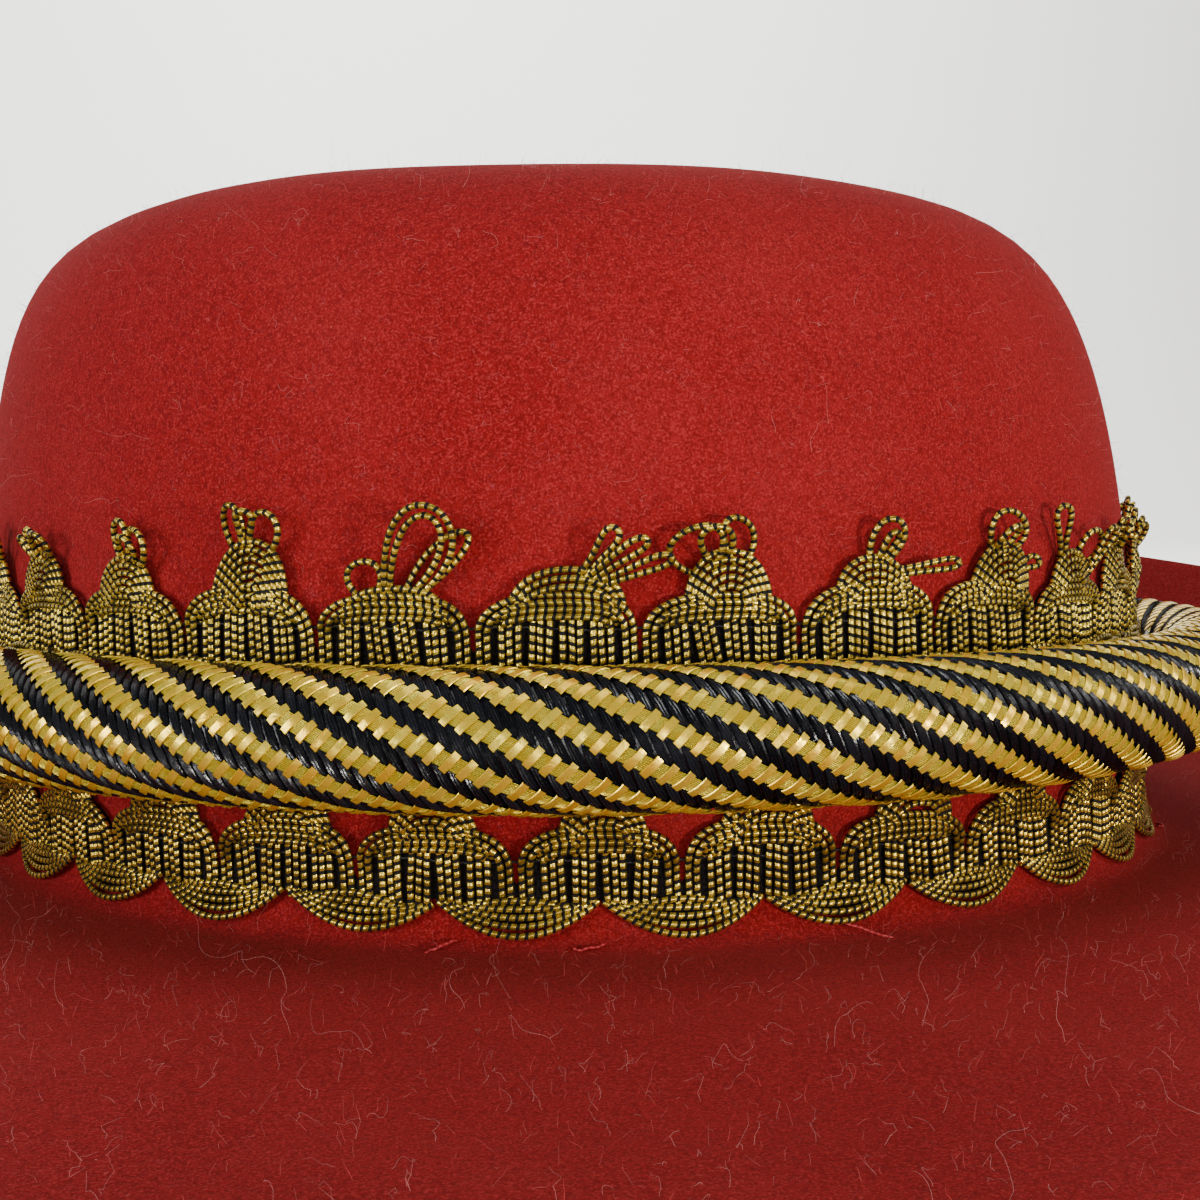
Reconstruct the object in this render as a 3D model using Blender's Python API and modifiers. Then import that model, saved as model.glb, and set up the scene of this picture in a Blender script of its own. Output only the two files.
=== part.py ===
"""A red wool-felt hat, trimmed round the foot of its crown with gold and black metallic braid.

One felt body makes the crown and the brim. Two rows of scroll gimp lie on the crown, and a fat
braided cord is sewn round it over the join of the two rows. +Z is up and the front faces -Y.
The hat lies on z = 0 as on a table: on the bend at the foot of its crown and on its flat front brim.
"""

import math
from collections import namedtuple

import bpy
import numpy as np

# The head opening, an oval of about 56 cm round, and the felt.
HEAD_HALF_WIDTH = 0.084
HEAD_HALF_LENGTH = 0.094
FELT_THICKNESS = 0.0025

# The crown: its inside height, and how square its tip and its side are. 2 would be an ellipse.
CROWN_INSIDE_HEIGHT = 0.0898
TIP_SQUARENESS = 10.2
SIDE_SQUARENESS = 3.27
CROWN_LEAN = -0.0036

# The brim: its width from the head opening, the bend that joins it to the crown, and its turn-up.
BRIM_WIDTH = 0.082
BEND_INSIDE_RADIUS = 0.0065
BACK_RISE = 0.043
CURL_POWER = 1.8
FLAT_FRONT_ANGLE = math.radians(15)
FULL_RISE_ANGLE = math.radians(160)

# The gimp: a flat scroll braid, mounds up and scallops down.
GIMP_HEIGHT = 0.0175
GIMP_THICKNESS = 0.0018
GIMP_REPEAT = 0.018
LOWER_GIMP_FOOT = 0.001
GAP_BETWEEN_ROWS = 0.0077
LOWER_GIMP_TURN = 0.05
UPPER_GIMP_TURN = 0.86

# The braided cord, and how far its middle lies under the foot of the upper gimp.
CORD_RADIUS = 0.0078
CORD_DROP = 0.0026

# The clearance that pieces lying on each other keep.
LAY_GAP = 0.0004

# Half a repeat of gimp, from a valley to the top of a mound, in equal steps along the braid.
# top and foot are shares of the gimp's height: the upper edge's mound and the lower edge's scallop.
GimpStep = namedtuple("GimpStep", "top foot")
GIMP_STEPS = [
    GimpStep(top=0.60, foot=0.00),
    GimpStep(top=0.80, foot=0.03),
    GimpStep(top=0.95, foot=0.14),
    GimpStep(top=1.00, foot=0.26),
]

# How finely the solids are divided.
FELT_SECTORS = 56
CROWN_RINGS = 15
BEND_RINGS = 4
BRIM_RINGS = 7
CORD_POINTS = 64
CORD_BEVEL_RESOLUTION = 4
CURVE_SAMPLES = 3601
SMOOTH_ANGLE = math.radians(40)

# Where rows of points run along each gimp, from its foot to its top. The lower one follows the bend.
LOWER_GIMP_ROWS = (0, 0.35, 1)
UPPER_GIMP_ROWS = (0, 1)

# Colours are linear RGBA.
RED_FELT = (0.33, 0.016, 0.018, 1.0)
GOLD_GIMP = (0.30, 0.20, 0.06, 1.0)
GOLD_BLACK_CORD = (0.36, 0.22, 0.06, 1.0)

BRIM_TOP = FELT_THICKNESS


def clear_scene():
    for old in list(bpy.data.objects):
        bpy.data.objects.remove(old, do_unlink=True)


def make_collection(name):
    collection = bpy.data.collections.new(name)
    bpy.context.scene.collection.children.link(collection)
    return collection


def principled(name, colour, roughness, metallic=0.0):
    material = bpy.data.materials.new(name)
    material.use_nodes = True
    shader = material.node_tree.nodes["Principled BSDF"]
    shader.inputs["Base Color"].default_value = colour
    shader.inputs["Roughness"].default_value = roughness
    shader.inputs["Metallic"].default_value = metallic
    return material


def inside_share(height):
    """How much of the head opening's width the inside of the crown has left at a height."""
    return (1 - (height / CROWN_INSIDE_HEIGHT) ** SIDE_SQUARENESS) ** (1 / TIP_SQUARENESS)


def crown_section():
    """Points (radius, height) down the inside of the crown, closer where it bends more."""
    turn = np.linspace(math.pi / 2, 0, CURVE_SAMPLES)
    radius = HEAD_HALF_WIDTH * np.cos(turn) ** (2 / TIP_SQUARENESS)
    height = CROWN_INSIDE_HEIGHT * np.sin(turn) ** (2 / SIDE_SQUARENESS)
    radius[0] = 0
    keep = height > BEND_INSIDE_RADIUS
    radius = radius[keep]
    height = height[keep]
    steps = np.hypot(np.diff(radius), np.diff(height))
    headings = np.unwrap(np.arctan2(np.diff(height), np.diff(radius)))
    bends = np.abs(np.diff(headings, prepend=headings[0]))
    measure = np.concatenate([[0], np.cumsum(steps / steps.sum() + bends / bends.sum())])
    wanted = np.linspace(0, measure[-1], CROWN_RINGS + 1)
    return list(zip(np.interp(wanted, measure, radius), np.interp(wanted, measure, height)))


def bend_section():
    """Points (radius, height) round the bend from the crown's foot to the brim's underside."""
    centre = HEAD_HALF_WIDTH + BEND_INSIDE_RADIUS
    for step in range(1, BEND_RINGS + 1):
        angle = step / BEND_RINGS * math.pi / 2
        yield (
            centre - BEND_INSIDE_RADIUS * math.cos(angle),
            BEND_INSIDE_RADIUS * (1 - math.sin(angle)),
        )


def brim_section():
    """Points (radius, height) out along the brim's underside, still flat."""
    start = HEAD_HALF_WIDTH + BEND_INSIDE_RADIUS
    end = HEAD_HALF_WIDTH + BRIM_WIDTH
    for step in range(1, BRIM_RINGS + 1):
        yield start + (end - start) * step / BRIM_RINGS, 0.0


def lean(height):
    """How far sideways the crown has leant at a height."""
    return CROWN_LEAN * max(height, 0) / CROWN_INSIDE_HEIGHT


def oval_point(radius, angle, height):
    """A point of the round section, stretched lengthways into the hat's oval and leant."""
    stretch = (HEAD_HALF_LENGTH - HEAD_HALF_WIDTH) * min(radius / HEAD_HALF_WIDTH, 1)
    return (
        radius * math.sin(angle) + lean(height),
        -(radius + stretch) * math.cos(angle),
        height,
    )


def brim_rise(radius, angle):
    """How far the brim is turned up: not at all over the flat front, most at the back."""
    round_share = (abs(angle) - FLAT_FRONT_ANGLE) / (FULL_RISE_ANGLE - FLAT_FRONT_ANGLE)
    round_share = min(max(round_share, 0), 1)
    smooth = round_share * round_share * (3 - 2 * round_share)
    start = HEAD_HALF_WIDTH + BEND_INSIDE_RADIUS
    out_share = max(radius - start, 0) / (HEAD_HALF_WIDTH + BRIM_WIDTH - start)
    return BACK_RISE * smooth * out_share**CURL_POWER


def turned(name, section, sectors):
    """The section turned about Z by a Screw modifier, as a plain mesh."""
    mesh = bpy.data.meshes.new(name + "_section")
    mesh.from_pydata(
        [(radius, 0, height) for radius, height in section],
        [(i, i + 1) for i in range(len(section) - 1)],
        [],
    )
    profile = bpy.data.objects.new(name + "_section", mesh)
    bpy.context.scene.collection.objects.link(profile)
    screw = profile.modifiers.new("turn", "SCREW")
    screw.steps = sectors
    screw.render_steps = sectors
    screw.use_merge_vertices = True
    screw.merge_threshold = 0.00001
    graph = bpy.context.evaluated_depsgraph_get()
    turned_mesh = bpy.data.meshes.new_from_object(profile.evaluated_get(graph))
    bpy.data.objects.remove(profile, do_unlink=True)
    return turned_mesh


def thicken(obj, thickness):
    wall = obj.modifiers.new("thickness", "SOLIDIFY")
    wall.thickness = thickness
    wall.offset = 1.0
    wall.use_even_offset = True


def make_felt_body(collection):
    """Crown and brim blocked from one felt: the turned inside skin, ovalled, curled, then thickened."""
    section = crown_section() + list(bend_section()) + list(brim_section())
    mesh = turned("felt_body", section, FELT_SECTORS)
    for vertex in mesh.vertices:
        x, y, height = vertex.co
        radius = math.hypot(x, y)
        angle = math.atan2(x, -y)
        vertex.co = oval_point(radius, angle, height)
        vertex.co.z += brim_rise(radius, angle)
    mesh.shade_smooth()
    mesh.set_sharp_from_angle(angle=SMOOTH_ANGLE)
    body = bpy.data.objects.new("felt_body", mesh)
    collection.objects.link(body)
    thicken(body, FELT_THICKNESS)
    mesh.materials.append(principled("red_wool_felt", RED_FELT, 0.95))
    return body


def felt_outside(height):
    """The crown's outer radius across its width at a height above z = 0, bend included."""
    radius = HEAD_HALF_WIDTH * inside_share(height) + FELT_THICKNESS
    bend = BEND_INSIDE_RADIUS - FELT_THICKNESS
    below = BRIM_TOP + bend - height
    if below > 0:
        radius += bend - math.sqrt(max(bend * bend - below * below, 0))
    return radius


def oval_travel(extra_radius):
    """Angles round the oval grown by a radius, and the length along its edge to each of them."""
    turn = np.linspace(-math.pi, math.pi, CURVE_SAMPLES)
    across = (HEAD_HALF_WIDTH + extra_radius) * np.sin(turn)
    along = -(HEAD_HALF_LENGTH + extra_radius) * np.cos(turn)
    steps = np.hypot(np.diff(across), np.diff(along))
    return turn, np.concatenate([[0], np.cumsum(steps)])


def even_angles(extra_radius, count, first_share):
    """Angles that share the edge of the grown oval into equal lengths, from a first place on."""
    turn, travelled = oval_travel(extra_radius)
    wanted = (np.arange(count) + first_share) / count * travelled[-1]
    return np.interp(wanted % travelled[-1], travelled, turn)


def make_gimp(name, collection, material, foot, turn_share, rows):
    """A closed row of gimp on the crown, its scallops' foot at a height."""
    lay = FELT_THICKNESS + LAY_GAP
    repeats = round(oval_travel(lay)[1][-1] / GIMP_REPEAT)
    steps = 2 * (len(GIMP_STEPS) - 1)
    count = repeats * steps
    vertices = []
    for i, angle in enumerate(even_angles(lay, count, turn_share * steps)):
        phase = i % steps
        step = GIMP_STEPS[min(phase, steps - phase)]
        low = foot + step.foot * GIMP_HEIGHT
        high = foot + step.top * GIMP_HEIGHT
        for share in rows:
            height = low + share * (high - low)
            vertices.append(oval_point(felt_outside(height) + LAY_GAP, angle, height))
    width = len(rows)
    faces = []
    for i in range(count):
        here = i * width
        there = (i + 1) % count * width
        for row in range(width - 1):
            faces.append((here + row, there + row, there + row + 1, here + row + 1))
    mesh = bpy.data.meshes.new(name)
    mesh.from_pydata(vertices, [], faces)
    mesh.materials.append(material)
    mesh.shade_smooth()
    mesh.set_sharp_from_angle(angle=SMOOTH_ANGLE)
    gimp = bpy.data.objects.new(name, mesh)
    collection.objects.link(gimp)
    thicken(gimp, GIMP_THICKNESS)
    return gimp


def cord_reach(clear_height):
    """How far the cord's side reaches inwards past its middle, at an edge this far from the middle."""
    clear = min(max(clear_height, 0), CORD_RADIUS)
    return math.sqrt(CORD_RADIUS * CORD_RADIUS - clear * clear)


def make_cord(collection, lower_gimp_top, upper_gimp_foot):
    """The fat braided cord, a closed tube that lies against the edges of the two gimps."""
    middle_height = upper_gimp_foot - CORD_DROP
    seats = [
        felt_outside(lower_gimp_top) + cord_reach(middle_height - lower_gimp_top),
        felt_outside(upper_gimp_foot) + cord_reach(upper_gimp_foot - middle_height),
    ]
    ring_radius = max(seats) + GIMP_THICKNESS + 2 * LAY_GAP
    route = bpy.data.curves.new("braided_cord", "CURVE")
    route.dimensions = "3D"
    route.bevel_depth = CORD_RADIUS
    route.bevel_resolution = CORD_BEVEL_RESOLUTION
    route.use_fill_caps = True
    spline = route.splines.new("POLY")
    spline.points.add(CORD_POINTS - 1)
    spline.use_cyclic_u = True
    angles = even_angles(ring_radius - HEAD_HALF_WIDTH, CORD_POINTS, 0)
    for point, angle in zip(spline.points, angles):
        point.co = (*oval_point(ring_radius, angle, middle_height), 1)
    route.materials.append(principled("gold_black_braid", GOLD_BLACK_CORD, 0.45, 0.5))
    cord = bpy.data.objects.new("braided_cord", route)
    collection.objects.link(cord)
    return cord


clear_scene()
hat = make_collection("red_felt_hat")
make_felt_body(hat)
gimp_material = principled("gold_black_gimp", GOLD_GIMP, 0.5, 0.5)
lower_foot = BRIM_TOP + LOWER_GIMP_FOOT
lower_top = lower_foot + GIMP_HEIGHT
upper_foot = lower_top + GAP_BETWEEN_ROWS
make_gimp("lower_gimp_braid", hat, gimp_material, lower_foot, LOWER_GIMP_TURN, LOWER_GIMP_ROWS)
make_gimp("upper_gimp_braid", hat, gimp_material, upper_foot, UPPER_GIMP_TURN, UPPER_GIMP_ROWS)
make_cord(hat, lower_top, upper_foot)
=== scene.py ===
import math
from collections import namedtuple

import bpy
import numpy as np
from mathutils import Matrix, Vector, noise


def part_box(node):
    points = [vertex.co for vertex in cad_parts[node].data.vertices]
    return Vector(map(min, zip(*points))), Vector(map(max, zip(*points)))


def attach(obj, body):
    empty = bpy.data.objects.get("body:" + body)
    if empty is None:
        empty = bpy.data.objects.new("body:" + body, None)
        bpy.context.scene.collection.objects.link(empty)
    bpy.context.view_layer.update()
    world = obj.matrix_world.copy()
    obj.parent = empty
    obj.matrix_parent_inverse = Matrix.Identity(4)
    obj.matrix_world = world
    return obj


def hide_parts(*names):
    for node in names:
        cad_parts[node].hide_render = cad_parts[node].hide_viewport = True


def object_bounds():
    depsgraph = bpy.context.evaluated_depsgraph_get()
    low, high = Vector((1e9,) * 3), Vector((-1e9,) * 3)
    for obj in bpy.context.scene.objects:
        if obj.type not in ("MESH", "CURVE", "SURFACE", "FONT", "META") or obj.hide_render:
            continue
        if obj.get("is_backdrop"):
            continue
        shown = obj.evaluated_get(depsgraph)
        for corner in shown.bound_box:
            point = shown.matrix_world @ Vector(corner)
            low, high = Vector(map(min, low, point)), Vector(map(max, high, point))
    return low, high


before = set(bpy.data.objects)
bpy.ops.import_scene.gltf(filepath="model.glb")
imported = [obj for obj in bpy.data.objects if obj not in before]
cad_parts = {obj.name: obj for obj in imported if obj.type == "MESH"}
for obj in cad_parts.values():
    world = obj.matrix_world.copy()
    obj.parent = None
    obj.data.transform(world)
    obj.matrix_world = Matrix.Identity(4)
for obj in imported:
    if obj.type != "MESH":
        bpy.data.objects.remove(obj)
cad_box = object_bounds()

# The felt body: crown and brim blocked from one piece of fulled wool felt, about 2.5 mm thick.
# Its tip is a rounded square, its brim lies flat in front and turns up towards the back, and its
# edge is cut raw. All the trims are sewn to it.
FELT_THICKNESS = 0.0025
HEAD_HALF_WIDTH = 0.084
HEAD_HALF_LENGTH = 0.094
TIP_SQUARENESS = 10.2
SIDE_SQUARENESS = 3.27
CROWN_LEAN = -0.0036
BEND_INSIDE_RADIUS = 0.0065
BACK_RISE = 0.043
CURL_POWER = 1.8
FLAT_FRONT_ANGLE = math.radians(15)
FULL_RISE_ANGLE = math.radians(160)
felt_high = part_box("felt_body")[1]
CROWN_INSIDE_HEIGHT = felt_high.z - FELT_THICKNESS
BRIM_OUT = felt_high.x
CURVE_SAMPLES = 3601
CROWN_RINGS = 62
BEND_RINGS = 6
BRIM_RINGS = 34
FELT_SECTORS = 208
RAW_EDGE_ROUNDING = 0.0005
RAW_EDGE_ANGLE = math.radians(50)
# The felt's slight waves: their size, how close they lie, and from what height and how far out
# they start, over a short way.
HAND_BLOCKED_WAVE = 0.0005
WAVES_A_METRE = 26
WAVES_FROM_HEIGHT = 0.05
WAVES_FROM_MIDDLE = 0.112
WAVES_START = 0.02


def inside_share(height):
    """How much of the head opening's width the inside of the crown has left at a height."""
    share = np.clip(np.asarray(height) / CROWN_INSIDE_HEIGHT, 0, 1)
    return (1 - share**SIDE_SQUARENESS) ** (1 / TIP_SQUARENESS)


def oval(radius, angle, height):
    """Points of a round section stretched lengthways into the hat's oval and leant to one side."""
    radius, angle, height = np.broadcast_arrays(radius, angle, height)
    longer = HEAD_HALF_LENGTH - HEAD_HALF_WIDTH
    stretch = longer * np.minimum(radius / HEAD_HALF_WIDTH, 1)
    lean = CROWN_LEAN * np.maximum(height, 0) / CROWN_INSIDE_HEIGHT
    across = radius * np.sin(angle) + lean
    return np.stack([across, -(radius + stretch) * np.cos(angle), height], axis=-1)


def brim_rise(radius, angle):
    """How far the brim is turned up: not at all over the flat front, most at the back."""
    turned = (np.abs(angle) - FLAT_FRONT_ANGLE) / (FULL_RISE_ANGLE - FLAT_FRONT_ANGLE)
    turned = np.clip(turned, 0, 1)
    start = HEAD_HALF_WIDTH + BEND_INSIDE_RADIUS
    out = np.maximum(radius - start, 0) / (BRIM_OUT - start)
    return BACK_RISE * turned * turned * (3 - 2 * turned) * out**CURL_POWER


def travelled(points):
    """The distance along a polyline at each of its points."""
    steps = np.linalg.norm(np.diff(points, axis=0), axis=1)
    return np.concatenate([[0], np.cumsum(steps)])


def spread(points, count):
    """As many points at even distances along a polyline."""
    way = travelled(points)
    wanted = np.linspace(0, way[-1], count)
    return np.column_stack([np.interp(wanted, way, column) for column in points.T])


def felt_section():
    """Points (radius, height) of the inside: down the crown, round the bend and out the brim."""
    turn = np.linspace(math.pi / 2, 0, CURVE_SAMPLES)
    radius = HEAD_HALF_WIDTH * np.cos(turn) ** (2 / TIP_SQUARENESS)
    radius[0] = 0
    height = CROWN_INSIDE_HEIGHT * np.sin(turn) ** (2 / SIDE_SQUARENESS)
    crown = np.column_stack([radius, height])[height > BEND_INSIDE_RADIUS]
    turn = np.linspace(0, math.pi / 2, BEND_RINGS + 1)[1:]
    middle = HEAD_HALF_WIDTH + BEND_INSIDE_RADIUS
    bend_out = middle - BEND_INSIDE_RADIUS * np.cos(turn)
    bend = np.column_stack([bend_out, BEND_INSIDE_RADIUS * (1 - np.sin(turn))])
    out = np.linspace(middle, BRIM_OUT, BRIM_RINGS + 1)[1:]
    return np.concatenate([spread(crown, CROWN_RINGS), bend, np.column_stack([out, 0 * out])])


def add_object(name, data):
    made = bpy.data.objects.new(name, data)
    bpy.context.scene.collection.objects.link(made)
    return made


def new_mesh(name, points, faces, edges=()):
    mesh = bpy.data.meshes.new(name)
    mesh.from_pydata(points, edges, faces)
    return mesh


def as_plain_mesh(source, name):
    """The source with its modifiers applied, as a new object in its place."""
    bpy.context.view_layer.update()
    graph = bpy.context.evaluated_depsgraph_get()
    shape = bpy.data.meshes.new_from_object(
        source.evaluated_get(graph), preserve_all_data_layers=True, depsgraph=graph
    )
    bpy.data.objects.remove(source)
    shape.name = name
    return add_object(name, shape)


def fill(tree, node, inputs):
    """Gives inputs of a node their values. A value may be another node's output."""
    for name, value in inputs.items():
        if isinstance(value, bpy.types.NodeSocket):
            tree.links.new(value, node.inputs[name])
        else:
            node.inputs[name].default_value = value


def put(tree, kind, inputs={}, output=0, **settings):
    """An output of a new node of this kind."""
    node = tree.nodes.new(kind)
    for name, value in settings.items():
        setattr(node, name, value)
    fill(tree, node, inputs)
    return node.outputs[output]


def calc(tree, operation, *values):
    """The result of a sum on numbers or outputs."""
    return put(tree, "ShaderNodeMath", dict(enumerate(values)), operation=operation)


def blended(tree, share, first, second):
    """A colour between two others."""
    inputs = {0: share, 6: first, 7: second}
    return put(tree, "ShaderNodeMix", inputs, output=2, data_type="RGBA")


def eased(tree, value, low, high, to_low=0.0, to_high=1.0):
    """The value's place between two limits, eased at both and scaled to two others."""
    ends = {0: value, 1: low, 2: high, 3: to_low, 4: to_high}
    return put(tree, "ShaderNodeMapRange", ends, interpolation_type="SMOOTHSTEP")


def grain(tree, scale, detail=2.0, wander=0.0):
    """Soft noise with this many grains to a metre."""
    where = put(tree, "ShaderNodeTexCoord", output="Object")
    inputs = {"Vector": where, "Scale": scale, "Detail": detail, "Distortion": wander}
    return put(tree, "ShaderNodeTexNoise", inputs)


def bumped(tree, height, distance, strength=1.0):
    """A normal for the shader that makes this height show."""
    inputs = {"Height": height, "Distance": distance, "Strength": strength}
    return put(tree, "ShaderNodeBump", inputs)


def new_material(name):
    material = bpy.data.materials.new(name)
    material.use_nodes = True
    return material, material.node_tree


def dress(tree, **inputs):
    """Gives the shader's inputs, named with _ for a space, their values or outputs."""
    named_inputs = {name.replace("_", " "): value for name, value in inputs.items()}
    fill(tree, tree.nodes["Principled BSDF"], named_inputs)


def wool_felt():
    """Matted red wool: cloudy colour, fine curled fibres in the surface and a soft nap."""
    material, tree = new_material("red_wool_felt")
    clouds = grain(tree, 34, 3)
    tufts = grain(tree, 1500, 3, 0.5)
    fine = grain(tree, 3900, 3, 0.4)
    dark = (0.175, 0.0048, 0.0066, 1)
    body = (0.268, 0.0076, 0.0102, 1)
    light = (0.435, 0.032, 0.032, 1)
    pale_fibre = (0.62, 0.12, 0.13, 1)
    colour = blended(tree, eased(tree, tufts, 0.30, 0.62), dark, body)
    colour = blended(tree, eased(tree, clouds, 0.40, 0.70, 0.0, 0.16), colour, light)
    colour = blended(tree, eased(tree, fine, 0.50, 0.68, 0.0, 0.85), colour, light)
    colour = blended(tree, eased(tree, fine, 0.46, 0.30, 0.0, 0.80), colour, dark)
    line = calc(tree, "ABSOLUTE", calc(tree, "SUBTRACT", grain(tree, 700, 1, 2.4), 0.5))
    broken = eased(tree, grain(tree, 330, 1), 0.54, 0.62)
    fibre = calc(tree, "MULTIPLY", eased(tree, line, 0.010, 0.003), broken)
    colour = blended(tree, calc(tree, "MULTIPLY", fibre, 0.5), colour, pale_fibre)
    height = calc(tree, "ADD", tufts, calc(tree, "MULTIPLY", fine, 0.6))
    height = calc(tree, "ADD", height, calc(tree, "MULTIPLY", fibre, 0.4))
    dress(tree, Base_Color=colour, Roughness=0.95, Specular_IOR_Level=0.12)
    dress(tree, Sheen_Weight=0.10, Sheen_Roughness=0.5, Sheen_Tint=(1.0, 0.16, 0.14, 1))
    dress(tree, Normal=bumped(tree, height, 0.00022, 0.8))
    return material


def blocked_felt():
    """The inside skin of crown and brim, thickened outwards, its raw edge barely rounded."""
    section = felt_section()
    angles = np.linspace(-math.pi, math.pi, FELT_SECTORS, endpoint=False)
    radius, angle = np.meshgrid(section[1:, 0], angles, indexing="ij")
    height = np.repeat(section[1:, 1:], FELT_SECTORS, axis=1)
    points = oval(radius, angle, height)
    points[..., 2] += brim_rise(radius, angle)
    points = np.concatenate([oval(0, 0, section[0, 1])[None], points.reshape(-1, 3)])
    faces = []
    for i in range(FELT_SECTORS):
        there = (i + 1) % FELT_SECTORS
        faces.append((0, 1 + i, 1 + there))
        for ring in range(len(section) - 2):
            row = 1 + ring * FELT_SECTORS
            below = row + FELT_SECTORS
            faces.append((row + i, below + i, below + there, row + there))
    mesh = new_mesh("felt_skin", points.tolist(), faces)
    mesh.shade_smooth()
    for vertex in mesh.vertices:
        free = min(max((vertex.co.z - WAVES_FROM_HEIGHT) / WAVES_START, 0), 1)
        out = (math.hypot(*vertex.co.xy) - WAVES_FROM_MIDDLE) / WAVES_START
        wave = noise.noise(vertex.co * WAVES_A_METRE) * HAND_BLOCKED_WAVE
        lift = Vector((0, 0, abs(wave))) * min(max(out, 0), 1)
        vertex.co += lift + vertex.normal * wave * free
    skin = add_object("felt_skin", mesh)
    wall = skin.modifiers.new("thickness", "SOLIDIFY")
    wall.thickness = FELT_THICKNESS
    wall.offset = 1.0
    wall.use_even_offset = True
    edge = skin.modifiers.new("raw_edge", "BEVEL")
    edge.width = RAW_EDGE_ROUNDING
    edge.segments = 2
    edge.limit_method = "ANGLE"
    edge.angle_limit = RAW_EDGE_ANGLE
    return as_plain_mesh(skin, "blocked_felt_hat")


red_wool = wool_felt()
hat = blocked_felt()
hat.data.materials.append(red_wool)
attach(hat, "root")
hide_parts("felt_body")


# The two rows of scroll gimp: black strands wound with flat gold strip, laid in groups side by
# side, turned over into mounds above and scallops below, and left as standing picot loops on top.
# Each row is a closed band, sewn flat against the foot of the crown.
GIMP_NODES = ("lower_gimp_braid", "upper_gimp_braid")
GIMP_REPEATS = 32
GIMP_TURNS = {"lower_gimp_braid": 0.05, "upper_gimp_braid": 0.86}
GIMP_SEEDS = {"lower_gimp_braid": 5, "upper_gimp_braid": 11}
STRAND_RADIUS = 0.00039
STRAND_SPACING = 0.00092
STRAND_SIDES = 6
WINDING_PITCH = 0.00100
WINDING_SLANT = 0.10
# How much of a turn the winding is ahead from each strand to the next.
AHEAD = {"upright": 0.22, "mound": 0.3, "scallop": 0.35, "tier": 0.4}
# How long a strand of each kind is, in its half widths, and a picot in its heights.
LONG = {"mound": 2.8, "scallop": 2.3, "tier": 2.9, "picot": 2.6}
BENT_STEP = 0.00085
STRAIGHT_STEP = 0.0024
PICOT_STEP = 0.0005
# How far off the felt the middle of a strand lies, under another one and over it.
UNDER = 0.00048
OVER = 0.00122
VALLEY_GAP = 0.0005
STRAND_GROUPS = (2, 3, 3, 3, 3, 2)
UPRIGHT_SLANT = 0.00018
UPRIGHT_SWAY = 0.00005
UPRIGHT_LIFT = 0.0001
FOOT_OVER_SCALLOP = 0.0006
HIGHEST_FOOT = 0.0034
TIP_UNDER_MOUND = 0.0010
HIGHEST_TIP = 0.0101
MOUND_STRANDS = 4
MOUND_SQUARENESS = 2.6
MOUND_SPRING = 0.0074
MOUND_TOP = 0.0120
MOUND_PACKING = 0.86
MOUND_SKEW = 0.0010
MOUND_TALLER = 0.0003
MOUND_RIPPLE = 0.00010
LONG_LEGGED = 2
LEG_FOOT = 0.0030
INNER_SPRING = 0.0091
INNER_SPRING_STEP = 0.0002
SCALLOP_STRANDS = 5
SCALLOP_DROP = 0.0035
SCALLOP_HALF = 0.0087
SCALLOP_NARROWER = 0.0009
SCALLOP_END_STEP = 0.00015
SCALLOP_LAYER = 0.00005
SCALLOP_DEEPER = 0.0002
SCALLOP_TILT = 0.03
TIER_BASE = 0.0100
TIER_SQUARENESS = 2.2
TIER_NARROWER = 0.68
TIER_SHIFT = 0.0003
TIER_WIDER = 0.0003
TIER_SKEW = (0.0004, 0.0006)
TIER_OFF = 0.0008
TIER_LEANS_OUT = 0.0006
TIER_LAYER = 0.0001
PICOT_TURN = 3
PICOT_TWIST = 0.25
PICOT_CURL = 0.08
PICOT_ROOT = 0.0013
PICOT_OFF = 0.0007
PICOT_LEAST_OFF = 0.0005
ROUND_PICOT_WIDTH = 0.0025
OPEN_FOOT_WIDTH = 0.0016
OPEN_FOOT_SHARE = 0.24
NESTED_PICOT_WIDTH = 0.0060
NESTED_SHORTER = 1.2
NESTED_NARROWER = 2.3

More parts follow.
